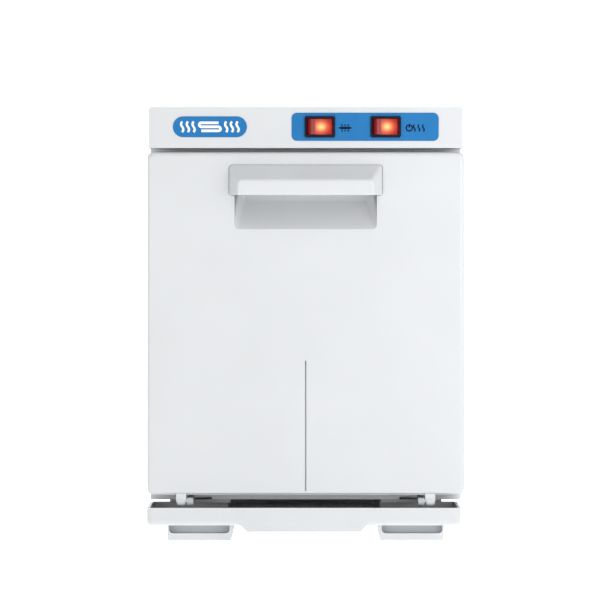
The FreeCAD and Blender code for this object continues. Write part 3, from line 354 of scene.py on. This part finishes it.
# ======================================================================================
# Heating mat: red silicone rubber over glass cloth, stuck under the chamber floor. The
# cloth's weave shows through as a fine relief.
# ======================================================================================
silicone, tree, shader = finish("red_silicone_mat", "#9C3A22", roughness=0.6, IOR=1.42)
mottle(tree, shader, "Base Color", low="#94351E", high="#A54028", size=8 * mm)
grain(tree, shader, size=1.1 * mm, height=0.05 * mm)
dressed(silicone, "silicone_mat", "cabinet", "heater_mat")

# ======================================================================================
# Thermostat and thermal fuse: a plated snap disc in its cup with two flat tabs, and a
# small can in a spring clip, both on the chamber's rear wall.
# ======================================================================================
dressed(zinc, "zinc_steel", "cabinet", "thermostat", "thermal_fuse", edge=0.2 * mm)

# ======================================================================================
# Insulation: pads of needled glass-fibre felt, cut to fit round the chamber and held
# there by the steel casing.
# ======================================================================================
# Off-white, with no gloss at all and a rough fibrous face.
felt, tree, shader = finish("needled_glass_felt", "#DEDCD4", roughness=0.95, Sheen_Weight=0.3)
mottle(tree, shader, "Base Color", low="#D6D3C9", high="#E4E2DB", size=6 * mm)
grain(tree, shader, size=1.0 * mm, height=0.25 * mm, detail=6.0)
felt_names = ["insulation_sides", "insulation_top", "insulation_floor", "insulation_rear"]
dressed(felt, "glass_felt", "cabinet", *felt_names, edge=0.8 * mm)

# ======================================================================================
# Rack rails and lamp guard: stainless strip, bent, slotted and spot welded inside the
# chamber.
# ======================================================================================
# Bright and smooth, with only the rolling mill's faint grain.
stainless, tree, shader = finish("bright_stainless", "#C9CACB", roughness=0.2, Metallic=1.0)
mottle(tree, shader, "Roughness", low=0.15, high=0.28, size=6 * mm)
grain(tree, shader, size=0.6 * mm, height=0.002 * mm)
dressed(stainless, "stainless_wire", "cabinet", "rack_rails", "lamp_guard", edge=0.15 * mm)

# ======================================================================================
# Wire rack: a welded basket of stainless wire, a thick rim above and below, thin wires
# across the floor and short uprights at the back and sides.
# ======================================================================================
dressed(stainless, "stainless_wire", "rack", "wire_rack", edge=0)


# ======================================================================================
# Lamp: a short straight tube of clear quartz glass with an aluminium cap crimped on each
# end. The two pins in each cap are drawn in the cap's own metal.
# ======================================================================================
def bar(start, end, radius, sides=24):
    """A round bar between two points, as a bmesh."""
    start, end = Vector(start), Vector(end)
    run = end - start
    made = bmesh.new()
    bmesh.ops.create_cone(
        made, cap_ends=True, segments=sides, radius1=radius, radius2=radius, depth=run.length
    )
    turn = run.to_track_quat("Z", "Y").to_matrix().to_4x4()
    bmesh.ops.transform(made, matrix=Matrix.Translation((start + end) / 2) @ turn, verts=made.verts)
    return made


def joined(target, other, operation="DIFFERENCE"):
    """Cuts other from target, or unites them, and removes other."""
    modifier = target.modifiers.new("join", "BOOLEAN")
    modifier.operation = operation
    modifier.object = other
    modifier.solver = "EXACT"
    bpy.context.view_layer.update()
    evaluated = target.evaluated_get(bpy.context.evaluated_depsgraph_get())
    mesh = bpy.data.meshes.new_from_object(evaluated)
    target.modifiers.clear()
    old = target.data
    target.data = mesh
    bpy.data.meshes.remove(old)
    bpy.data.objects.remove(other)
    return target


# Clear, with a faint cold tint.
quartz, tree, shader = finish(
    "clear_quartz_glass", "#F2F6FA", roughness=0.04, IOR=1.46, Transmission_Weight=0.85
)
mottle(tree, shader, "Roughness", low=0.02, high=0.07, size=20 * mm)
lamp_low, lamp_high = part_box("uv_lamp")
lamp_axis = (lamp_low + lamp_high) / 2
lamp_radius = (lamp_high.z - lamp_low.z) / 2
lamp_pin_length = 6 * mm
lamp_pin_radius = 1.1 * mm
lamp_pin_offset = 2.5 * mm
lamp_pin_inset = 0.2 * mm
lamp_cap_length = 7 * mm
glass_inset = 0.4 * mm  # glass inside its cap's radius
tube_half = lamp_high.x - lamp_pin_length
tube_inset = 1 * mm  # glass short of the end of its cap
tube_reach = tube_half - tube_inset
bm = bar(
    (-tube_reach, lamp_axis.y, lamp_axis.z),
    (tube_reach, lamp_axis.y, lamp_axis.z),
    lamp_radius - glass_inset,
    sides=48,
)
placed(thing("lamp_tube", bm), "cabinet", quartz, ["uv_lamp"], edge=0.8 * mm, segments=4)
for side, side_name in ((-1, "left"), (1, "right")):
    bm = bar(
        (side * (tube_half - lamp_cap_length), lamp_axis.y, lamp_axis.z),
        (side * tube_half, lamp_axis.y, lamp_axis.z),
        lamp_radius,
        sides=48,
    )
    lamp_cap = thing("lamp_cap_" + side_name, bm)
    for offset in (-lamp_pin_offset, lamp_pin_offset):
        pin = bar(
            (side * tube_reach, lamp_axis.y, lamp_axis.z + offset),
            (side * (lamp_high.x - lamp_pin_inset), lamp_axis.y, lamp_axis.z + offset),
            lamp_pin_radius,
            sides=16,
        )
        joined(lamp_cap, thing("pin", pin), "UNION")
    placed(lamp_cap, "cabinet", brushed, edge=0.3 * mm)

# ======================================================================================
# Lamp holders, terminal block and lamp starter: moulded urea plastic, the warm cream of
# common electrical fittings.
# ======================================================================================
cream, tree, shader = finish("cream_urea_plastic", "#E4DCC4", roughness=0.4, IOR=1.55)
mottle(tree, shader, "Base Color", low="#E0D7BD", high="#E7E0CA", size=15 * mm)
grain(tree, shader, size=0.6 * mm, height=0.006 * mm)
dressed(cream, "cream_plastic", "cabinet", "lamp_holders", "terminal_block", "lamp_starter")

# ======================================================================================
# Ballast: a coil on a stack of steel laminations with fixing feet, on top of the body
# inside the control housing.
# ======================================================================================
dressed(zinc, "zinc_steel", "cabinet", "ballast", edge=0.4 * mm)

# ======================================================================================
# Steel casing: one sheet folded over both sides and the top, and a flat back cover with
# vent slots, powder coated white.
# ======================================================================================
# The coating is satin, with a faint orange peel a millimetre or two across.
powder_coat, tree, shader = finish("white_powder_coat", "#BABCBE", roughness=0.38, IOR=1.5)
mottle(tree, shader, "Roughness", low=0.33, high=0.43, size=25 * mm)
grain(tree, shader, size=1.6 * mm, height=0.012 * mm)
dressed(powder_coat, "white_steel", "cabinet", "outer_wrap", "back_cover", edge=0.4 * mm)

# ======================================================================================
# Cord bush and magnetic catch: black nylon, moulded. The bush is snapped into the back
# cover; the catch is clipped behind the front frame, above the chamber mouth.
# ======================================================================================
# Deep black, faintly blue where it catches the light.
nylon, tree, shader = finish(
    "black_nylon", "#0B1322", roughness=0.45, IOR=1.53, Specular_IOR_Level=0.15
)
mottle(tree, shader, "Roughness", low=0.36, high=0.48, size=5 * mm)
grain(tree, shader, size=0.5 * mm, height=0.004 * mm)
dressed(nylon, "black_plastic", "cabinet", "magnet_catch", "inlet_gland", edge=0.4 * mm)


# ======================================================================================
# Control housing: one ABS moulding, open underneath, whose front face is the fascia. Its
# corners and edges are rounded, and it has two windows for the switches.
# ======================================================================================
def slab(low, high):
    """A bmesh block between two corners."""
    bm = bmesh.new()
    bmesh.ops.create_cube(bm, size=1)
    low, high = Vector(low), Vector(high)
    bmesh.ops.scale(bm, vec=high - low, verts=bm.verts)
    bmesh.ops.translate(bm, vec=(low + high) / 2, verts=bm.verts)
    return bm


def running(bm, axis, test=lambda middle: True):
    """The edges that run along an axis (0, 1 or 2) and whose middle passes a test."""
    parallel = 0.999
    found = []
    for edge in bm.edges:
        run = (edge.verts[1].co - edge.verts[0].co).normalized()
        if abs(run[axis]) > parallel and test((edge.verts[0].co + edge.verts[1].co) / 2):
            found.append(edge)
    return found


def around(bm, axis, place, near=1e-6):
    """The edges that lie wholly in the plane where an axis has one value."""
    return [e for e in bm.edges if all(abs(v.co[axis] - place) < near for v in e.verts)]


def soften(bm, edges, width, segments=4):
    """Rounds edges of a bmesh."""
    bmesh.ops.bevel(
        bm,
        geom=edges,
        offset=width,
        offset_type="OFFSET",
        affect="EDGES",
        segments=segments,
        profile=0.5,
        clamp_overlap=True,
        material=-1,
    )


# Cool white with a satin gloss. The tool's fine spark finish breaks up reflections, and
# the colour hardly varies.
white_abs, tree, shader = finish("moulded_satin_abs", "#C2C4C6", roughness=0.36, IOR=1.53)
mottle(tree, shader, "Base Color", low="#C1C3C5", high="#C3C5C7", size=60 * mm)
grain(tree, shader, size=0.7 * mm, height=0.004 * mm)
cap_low, cap_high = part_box("cap_housing")
cap_wall = 2.5 * mm
cap_corner = 2.4 * mm
cap_upright = 2.2 * mm
cap_front_edge = 0.9 * mm
cap_lip = 1 * mm  # the open lower edge stays sharp
bm = slab(cap_low, cap_high)
soften(bm, running(bm, 1, lambda p: p.z > cap_low.z + cap_lip), cap_corner, segments=6)
soften(bm, running(bm, 2), cap_upright, segments=6)
cap_rim = [e for e in around(bm, 1, cap_low.y) if e.verts[0].co.z > cap_low.z + cap_lip]
soften(bm, cap_rim, cap_front_edge, segments=4)
cap = thing("cap_housing_shell", bm)
hollow = slab(
    (cap_low.x + cap_wall, cap_low.y + cap_wall, cap_low.z - cap_wall),
    (cap_high.x - cap_wall, cap_high.y - cap_wall, cap_high.z - cap_wall),
)
joined(cap, thing("hollow", hollow))
bezel_lap = 0.7 * mm  # the switches' flanges cover the windows' edges
for side in ("lamp", "power"):
    low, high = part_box(side + "_switch_housing")
    window = slab(
        (low.x + bezel_lap, cap_low.y - cap_wall, low.z + bezel_lap),
        (high.x - bezel_lap, cap_low.y + 2 * cap_wall, high.z - bezel_lap),
    )
    joined(cap, thing("window", window))
placed(cap, "cabinet", white_abs, ["cap_housing"], edge=0.3 * mm)

# ======================================================================================
# Underplate: a flat moulded ABS plate that closes the fascia's overhang from below, just
# above the door. It is clipped into the control housing.
# ======================================================================================
# The same paler grey ABS: painted light for the shade above the door.
dressed(inner_abs_painted_light, "grey_abs", "cabinet", "cap_underplate")

# ======================================================================================
# Panel and badge: two pieces of clear film, printed blue on the back, cut out with round
# ends or corners and stuck to the fascia.
# ======================================================================================
# An even strong blue under a fine matte face.
blue_film, tree, shader = finish(
    "printed_blue_film", "#1B6AA3", roughness=0.5, IOR=1.5, Specular_IOR_Level=0.2
)
mottle(tree, shader, "Base Color", low="#1A68A1", high="#1D6CA5", size=20 * mm)
grain(tree, shader, size=0.9 * mm, height=0.002 * mm)
dressed(blue_film, "blue_film", "cabinet", "panel_overlay", "badge_overlay", edge=0.12 * mm)

# ======================================================================================
# Printed signs in place of words: on the panel a tube lamp with rays, and a power sign
# with heat waves, in navy; on the badge a folded towel between wisps of steam, in white.
# ======================================================================================
# Screen inks, dead matte and very slightly uneven.
navy_ink, tree, shader = finish("navy_screen_ink", "#07162F", roughness=0.6, Specular_IOR_Level=0.1)
mottle(tree, shader, "Roughness", low=0.55, high=0.7, size=3 * mm)
dressed(navy_ink, "navy_ink", "cabinet", "panel_symbols", edge=0)
white_ink, tree, shader = finish("white_screen_ink", "#E6E9EC", roughness=0.6)
mottle(tree, shader, "Roughness", low=0.55, high=0.7, size=3 * mm)
dressed(white_ink, "white_ink", "cabinet", "badge_symbols", edge=0)

# ======================================================================================
# Switch housings: two like boxes of black nylon with a thin flange, snapped into the
# fascia's windows; three flat terminals stand out behind each.
# ======================================================================================
dressed(
    nylon,
    "black_plastic",
    "cabinet",
    "lamp_switch_housing",
    "power_switch_housing",
    edge=0.4 * mm,
    segments=3,
)

# ======================================================================================
# Rockers: see-through red polycarbonate over a neon lamp. The lamp's chamber lies behind
# the middle and right of the face; the left end, over the hinge rib, stays darker.
# ======================================================================================
# Glassy red that glows yellow at the lamp. The ribbing moulded inside shows as relief.
glow_stops = [
    (0.0, "#FFF0A4"),
    (0.22, "#F6CC7A"),
    (0.46, "#CE7044"),
    (0.76, "#902C1A"),
    (1.0, "#5A0A06"),
]
halfway = 0.5  # new stops start here, and are then moved to their places
glow_reach = 8.4 * mm
glow_right = 1.0 * mm  # lamp right of the rocker's middle
glow_flattening = 1.15  # the glow is a little wider than high
dim_glow = 0.1
full_glow = 0.95
rib_place = -3.3 * mm  # inner rib, left of the middle
rib_blur = 0.5 * mm
for side in ("lamp", "power"):
    low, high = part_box(side + "_rocker")
    middle = (low + high) / 2
    lens, tree, shader = finish(
        "red_polycarbonate_" + side, "#7C0C0E", roughness=0.3, IOR=1.58, Specular_IOR_Level=0.25
    )
    place = add(tree, "ShaderNodeTexCoord")
    lamp_x = middle.x + glow_right
    lamp_z = middle.z
    stretched = add(
        tree,
        "ShaderNodeMapping",
        {
            "Location": (-lamp_x, 0.0, -lamp_z * glow_flattening),
            "Scale": (1.0, 0.0, glow_flattening),
        },
        {"Vector": place.outputs["Object"]},
    )
    reach = add(tree, "ShaderNodeVectorMath", {"operation": "LENGTH"}, {0: stretched.outputs["Vector"]})
    spread = add(
        tree,
        "ShaderNodeMapRange",
        {"From Min": 0.0, "From Max": glow_reach},
        {"Value": reach.outputs["Value"]},
    )
    ramp = add(tree, "ShaderNodeValToRGB", links={"Fac": spread.outputs["Result"]})
    while len(ramp.color_ramp.elements) < len(glow_stops):
        ramp.color_ramp.elements.new(position=halfway)
    for element, (position, code) in zip(ramp.color_ramp.elements, glow_stops):
        element.position = position
        element.color = linear(code)
    axes = add(tree, "ShaderNodeSeparateXYZ", links={"Vector": place.outputs["Object"]})
    beyond_rib = add(
        tree,
        "ShaderNodeMapRange",
        {
            "From Min": middle.x + rib_place - rib_blur,
            "From Max": middle.x + rib_place + rib_blur,
            "To Min": dim_glow,
            "To Max": full_glow,
        },
        {"Value": axes.outputs["X"]},
    )
    tree.links.new(ramp.outputs["Color"], shader.inputs["Emission Color"])
    tree.links.new(beyond_rib.outputs["Result"], shader.inputs["Emission Strength"])
    grain(tree, shader, size=1.1 * mm, height=0.08 * mm, stretch=(1, 1, 0.1))
    dressed(lens, "red_lens", side + "_switch", side + "_rocker", edge=0.3 * mm, segments=3)

# ======================================================================================
# Door front: one ABS moulding with rounded edges, hollow behind. A finger pocket is sunk
# in it and a fine groove is cut up the middle. Two knuckles hang from its lower edge.
# ======================================================================================
skin_low, skin_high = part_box("door_skin")
liner_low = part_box("door_liner")[0]
grip_low, grip_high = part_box("door_grip")
door_wall = 2.5 * mm
door_corner = 4.5 * mm
door_edge = 3.0 * mm
door_low = Vector((skin_low.x, front_y, liner_low.z - door_wall))
door_high = Vector(skin_high)
bm = slab(door_low, door_high)
soften(bm, running(bm, 1), door_corner, segments=8)
soften(bm, around(bm, 1, front_y), door_edge, segments=6)
door = thing("door_front", bm)

grip_height = 21.2 * mm
grip_floor = grip_high.z - grip_height
pocket_half = 49.9 * mm
pocket_depth = 15 * mm
pocket_draft = 5.8 * mm  # how far its sides lean in towards its floor
pocket_drop = 23.8 * mm  # its mouth's height below the grip's lower edge
pocket_rise = 11 * mm  # and above it, up inside the grip
pocket_low = grip_floor - pocket_drop
pocket_climb = 21.9 * mm  # how far its floor climbs on its way in
pocket_high = grip_floor + pocket_rise
pocket_corner = 2.4 * mm
pocket_ahead = 6 * mm  # the cutting form is carried on in front of the door
one_face = 0.01  # radians between neighbouring faces that are really one


def pocket_form(grow):
    """The finger pocket's hollow, or that hollow grown by the door's wall."""
    share = pocket_ahead / pocket_depth
    near = front_y - pocket_ahead
    deep = front_y + pocket_depth + grow
    steepness = pocket_climb / pocket_depth
    foot = pocket_low - grow * math.sqrt(1 + steepness * steepness)
    form = bmesh.new()
    for side in (-1, 1):
        wide = side * (pocket_half + grow + pocket_draft * share)
        narrow = side * (pocket_half + grow - pocket_draft)
        form.verts.new((wide, near, foot - steepness * pocket_ahead))
        form.verts.new((wide, near, pocket_high + grow))
        form.verts.new((narrow, deep, foot + steepness * (deep - front_y)))
        form.verts.new((narrow, deep, pocket_high + grow))
    bmesh.ops.convex_hull(form, input=form.verts)
    bmesh.ops.dissolve_limit(form, angle_limit=one_face, verts=form.verts, edges=form.edges)
    soften(form, form.edges[:], pocket_corner, segments=4)
    return thing("pocket", form)


cavity = slab(
    (door_low.x + door_wall, front_y + door_wall, door_low.z + door_wall),
    (door_high.x - door_wall, door_high.y + door_wall, door_high.z - door_wall),
)
cavity = joined(thing("cavity", cavity), pocket_form(door_wall))
joined(door, cavity)
joined(door, pocket_form(0))

groove_half = 0.5 * mm
groove_depth = 1.6 * mm
groove_foot_gap = 3.2 * mm  # plain skin below its lower end
groove_length = 90.8 * mm
groove_low = door_low.z + groove_foot_gap
groove_high = groove_low + groove_length
groove = slab(
    (-groove_half, front_y - door_wall, groove_low), (groove_half, front_y + groove_depth, groove_high)
)
joined(door, thing("groove", groove))

hinge = next(joint for joint in frame["joints"] if joint["name"] == "door_hinge")
hinge_at = Vector(hinge["pos_m"])
knuckle_radius = 3.2 * mm
knuckle_half = 3.5 * mm
knuckle_place = 87.2 * mm
knuckle_round = 2.2 * mm
knuckle_web = (2.4 * mm, 3.1 * mm)  # web ahead of and behind the hinge's axis
pin_hole = 1.6 * mm
bore_overrun = 1 * mm
for side in (-1, 1):
    x = (side * knuckle_place - knuckle_half, side * knuckle_place + knuckle_half)
    bm = bar((x[0], hinge_at.y, hinge_at.z), (x[1], hinge_at.y, hinge_at.z), knuckle_radius, sides=32)
    soften(bm, around(bm, 0, x[0]) + around(bm, 0, x[1]), knuckle_round, segments=4)
    knuckle = thing("knuckle", bm)
    bm = slab(
        (x[0], hinge_at.y - knuckle_web[0], hinge_at.z),
        (x[1], hinge_at.y + knuckle_web[1], door_low.z + door_wall / 2),
    )
    joined(knuckle, thing("web", bm), "UNION")
    bore_start = (x[0] - bore_overrun, hinge_at.y, hinge_at.z)
    bore_end = (x[1] + bore_overrun, hinge_at.y, hinge_at.z)
    bm = bar(bore_start, bore_end, pin_hole)
    joined(knuckle, thing("bore", bm))
    joined(door, knuckle, "UNION")

grip_half = grip_high.x
grip_seat = 0.8 * mm  # depth of the shallow recess that the grip sits in
grip_seat_gap = 0.4 * mm
seat_corner = 2.6 * mm
bm = slab(
    (-grip_half - grip_seat_gap, front_y - door_wall, grip_floor - grip_seat_gap),
    (grip_half + grip_seat_gap, front_y + grip_seat, grip_high.z + grip_seat_gap),
)
soften(bm, running(bm, 1), seat_corner, segments=5)
joined(door, thing("seat", bm))
placed(door, "door", white_abs, ["door_skin"], edge=0.3 * mm, segments=3)

# ======================================================================================
# Grip: a hollow ABS cover set in a shallow seat in the door. Its top and ends slope to a
# flat narrow face, and it is open underneath, so that fingers reach up behind it.
# ======================================================================================
grip_face_half = 47.4 * mm
grip_face_height = 10.3 * mm
grip_face_top = grip_floor + grip_face_height
grip_wall = 2.4 * mm
grip_foot = 4 * mm


def grip_form(inset, root, foot):
    """The grip's wedge, drawn in by inset; root is its depth behind the door's face."""
    face = grip_low.y + inset
    form = bmesh.new()
    for side in (-1, 1):
        back = side * (grip_half - inset)
        near = side * (grip_face_half - inset)
        form.verts.new((back, front_y, grip_floor - foot))
        form.verts.new((back, front_y, grip_high.z - inset))
        form.verts.new((near, face, grip_floor - foot))
        form.verts.new((near, face, grip_face_top - inset))
        form.verts.new((back, front_y + root, grip_floor - foot))
        form.verts.new((back, front_y + root, grip_high.z - inset))
    bmesh.ops.convex_hull(form, input=form.verts)
    bmesh.ops.dissolve_limit(form, angle_limit=one_face, verts=form.verts, edges=form.edges)
    return form


grip_corner = 2.4 * mm
grip_face_edge = 1.2 * mm
bm = grip_form(0, grip_seat, 0)
leaning = [
    e
    for e in bm.edges
    if abs(e.verts[0].co.y - e.verts[1].co.y) > grip_wall
    and max(v.co.z for v in e.verts) > grip_floor + grip_wall
]
upper = running(bm, 1, lambda p: p.z > grip_floor + grip_wall)
soften(bm, leaning + upper, grip_corner, segments=5)
soften(bm, around(bm, 1, grip_low.y), grip_face_edge, segments=5)
grip = thing("door_grip_cover", bm)
joined(grip, thing("grip_hollow", grip_form(grip_wall, 3 * grip_seat, grip_foot)))
placed(grip, "door", white_abs, ["door_grip"], edge=0.3 * mm)

# ======================================================================================
# Door back: felt pad, inner panel of grey ABS with a raised middle, a soft rubber seal
# round it and a steel strike plate for the catch.
# ======================================================================================
dressed(felt, "glass_felt", "door", "door_insulation", edge=0.8 * mm)
# The liner takes the same paler grey ABS, which is painted light.
dressed(inner_abs_painted_light, "grey_abs", "door", "door_liner", edge=1.0 * mm, segments=4)
dressed(rubber, "grey_rubber", "door", "door_gasket", edge=0.7 * mm, segments=4)
dressed(zinc, "zinc_steel", "door", "strike_plate", edge=0.2 * mm)

# ======================================================================================
# Drip tray: a thin-walled ABS moulding. A full-width gutter lies under the door, a broad
# tongue runs back from it between the rails, and a flap in front is what you pull.
# ======================================================================================
tray_low, tray_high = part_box("drip_tray")
tray_middle = (tray_low.x + tray_high.x) / 2
tray_wall = 2.0 * mm
flap_drop = 4.2 * mm  # how far the flap hangs below the moulding's bottom
tongue_length = 120 * mm
tray_bottom = tray_low.z + flap_drop
tray_corner = 3.9 * mm
tray_keel = 3.2 * mm
gutter_back = tray_high.y - tongue_length
tongue_half = 56.5 * mm
tongue_corner = 3.0 * mm
bm = slab((tray_low.x, tray_low.y, tray_bottom), (tray_high.x, gutter_back, tray_high.z))
soften(bm, running(bm, 2), tray_corner, segments=6)
soften(bm, around(bm, 2, tray_bottom), tray_keel, segments=6)
tray = thing("drip_tray_moulding", bm)
bm = slab(
    (tray_middle - tongue_half, gutter_back - tray_wall, tray_bottom),
    (tray_middle + tongue_half, tray_high.y, tray_high.z),
)
soften(bm, running(bm, 2, lambda p: p.y > gutter_back), tongue_corner, segments=5)
joined(tray, thing("tongue", bm), "UNION")
flap_half = 43.9 * mm
flap_foot_half = 39.7 * mm
flap_thickness = 2.5 * mm
same_height = 0.01 * mm
bm = slab(
    (-flap_half, tray_low.y, tray_low.z),
    (flap_half, tray_low.y + flap_thickness, tray_bottom + 1.5 * tray_wall),
)
for vert in bm.verts:
    if vert.co.z < tray_bottom:
        vert.co.x = math.copysign(flap_foot_half, vert.co.x)
bmesh.ops.bisect_plane(
    bm, geom=bm.verts[:] + bm.edges[:] + bm.faces[:], plane_co=(0, 0, tray_bottom), plane_no=(0, 0, 1)
)
for vert in bm.verts:
    if abs(vert.co.z - tray_bottom) < same_height:
        vert.co.x = math.copysign(flap_half, vert.co.x)
bmesh.ops.translate(bm, vec=(tray_middle, 0, 0), verts=bm.verts)
joined(tray, thing("flap", bm), "UNION")
hollow_corner = 2.6 * mm
hollow_keel = 1.8 * mm
hollow_above = 5 * mm
bm = slab(
    (tray_low.x + tray_wall, tray_low.y + tray_wall, tray_bottom + tray_wall),
    (tray_high.x - tray_wall, gutter_back - tray_wall, tray_high.z + hollow_above),
)
soften(bm, running(bm, 2), hollow_corner, segments=5)
soften(bm, around(bm, 2, tray_bottom + tray_wall), hollow_keel, segments=4)
joined(tray, thing("gutter_hollow", bm))
bm = slab(
    (tray_middle - tongue_half + tray_wall, gutter_back - 3 * tray_wall, tray_bottom + tray_wall),
    (tray_middle + tongue_half - tray_wall, tray_high.y - tray_wall, tray_high.z + hollow_above),
)
soften(bm, running(bm, 2), hollow_keel, segments=4)
joined(tray, thing("tongue_hollow", bm))
placed(tray, "tray", white_abs, ["drip_tray"], edge=0.45 * mm, segments=3)
